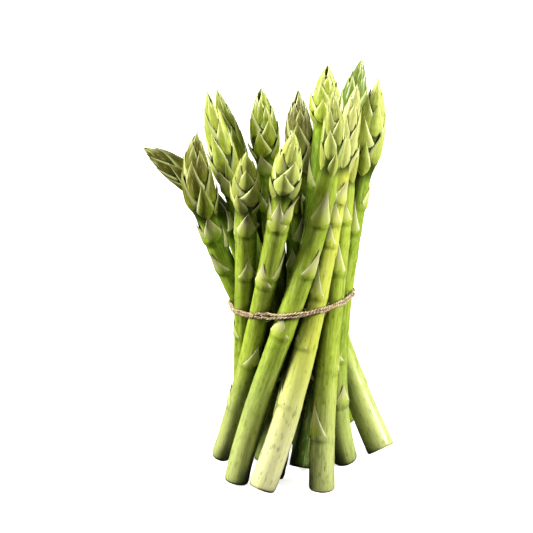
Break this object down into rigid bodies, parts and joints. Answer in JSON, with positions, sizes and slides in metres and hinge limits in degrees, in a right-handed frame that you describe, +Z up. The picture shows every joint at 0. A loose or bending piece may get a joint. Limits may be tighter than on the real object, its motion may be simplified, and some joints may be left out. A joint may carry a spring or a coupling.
{
  "type": "bundle of asparagus",
  "caption": "Bundle of fresh green asparagus spears tied round the middle with natural twine, standing as a twisted sheaf on its cut ends.",
  "frame": {"origin": "on the surface that the bundle stands on, under the middle of its bounding box", "axes": "+Z up along the sheaf; -Y towards the front, the side whose spears lean right towards the top; +X to the right seen from the front"},
  "size_m": [0.1279, 0.0977, 0.2084],
  "materials": {
    "asparagus_skin": "waxy green skin with paler scale leaves, a fresh vegetable",
    "jute_twine": "rough two-ply natural fibre, matt"
  },
  "bodies": {
    "root": {"spear_01": "asparagus_skin", "spear_02": "asparagus_skin", "spear_03": "asparagus_skin", "spear_04": "asparagus_skin", "spear_05": "asparagus_skin", "spear_06": "asparagus_skin", "spear_07": "asparagus_skin", "spear_08": "asparagus_skin", "spear_09": "asparagus_skin", "spear_10": "asparagus_skin", "spear_11": "asparagus_skin", "spear_12": "asparagus_skin", "spear_13": "asparagus_skin", "spear_14": "asparagus_skin", "spear_15": "asparagus_skin", "twine": "jute_twine"}
  },
  "joints": []
}
